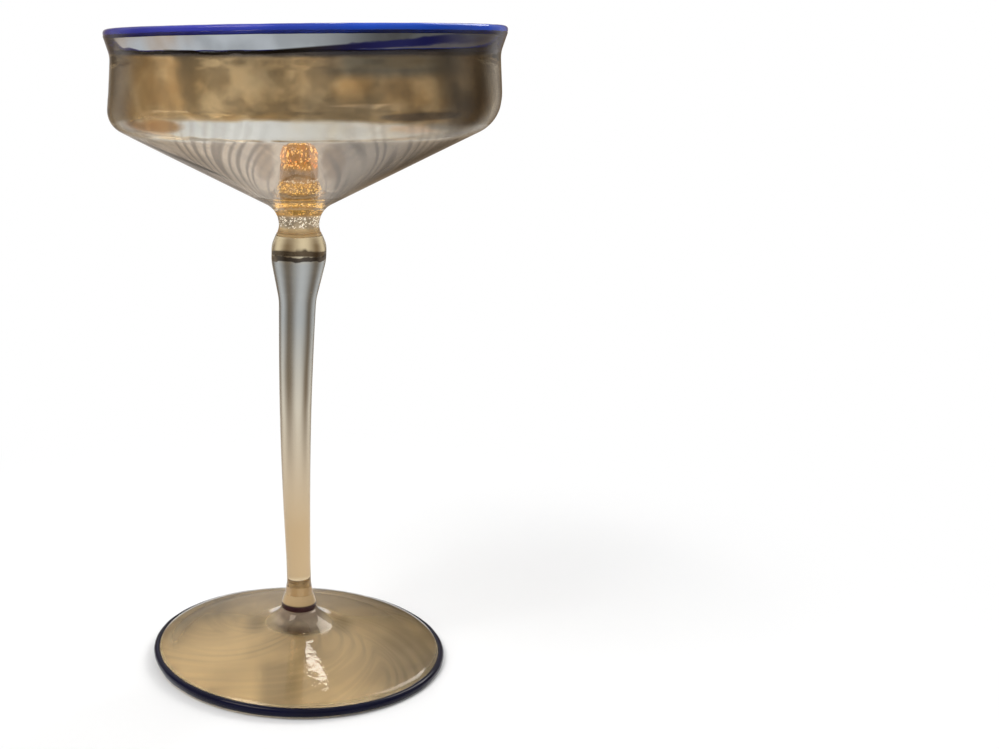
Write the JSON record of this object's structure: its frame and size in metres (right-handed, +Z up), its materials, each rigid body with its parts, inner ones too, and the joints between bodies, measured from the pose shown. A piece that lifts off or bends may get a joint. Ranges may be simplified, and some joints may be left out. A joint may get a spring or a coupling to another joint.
{
  "type": "coupe glass",
  "caption": "Hand-blown stemmed coupe with a wide shallow bowl, a gold-flecked core in the neck, a knopped stem, a low spread foot and cobalt threads on lip and foot.",
  "frame": {"origin": "centre of the foot, on the surface that the glass stands on", "axes": "+Z up along the axis of the stem, X and Y free because the glass is turned"},
  "size_m": [0.1, 0.1, 0.168],
  "materials": {
    "lip_thread": "glossy cobalt glass thread",
    "bowl_glass": "clear blown glass with a pale smoky champagne tint",
    "gold_flecked_glass": "amber glass full of gold flecks",
    "neck_amber": "clear amber glass",
    "stem_glass": "clear drawn glass with a pale smoky champagne tint",
    "collar_amber": "clear amber glass with a dark lower edge",
    "foot_glass": "clear spread glass with a pale smoky champagne tint",
    "foot_thread": "glossy navy glass thread"
  },
  "bodies": {
    "root": {"lip_wrap": "lip_thread", "bowl": "bowl_glass", "gold_core": "gold_flecked_glass", "neck_ring": "neck_amber", "stem": "stem_glass", "foot_ring": "collar_amber", "foot": "foot_glass", "foot_wrap": "foot_thread"}
  },
  "joints": []
}
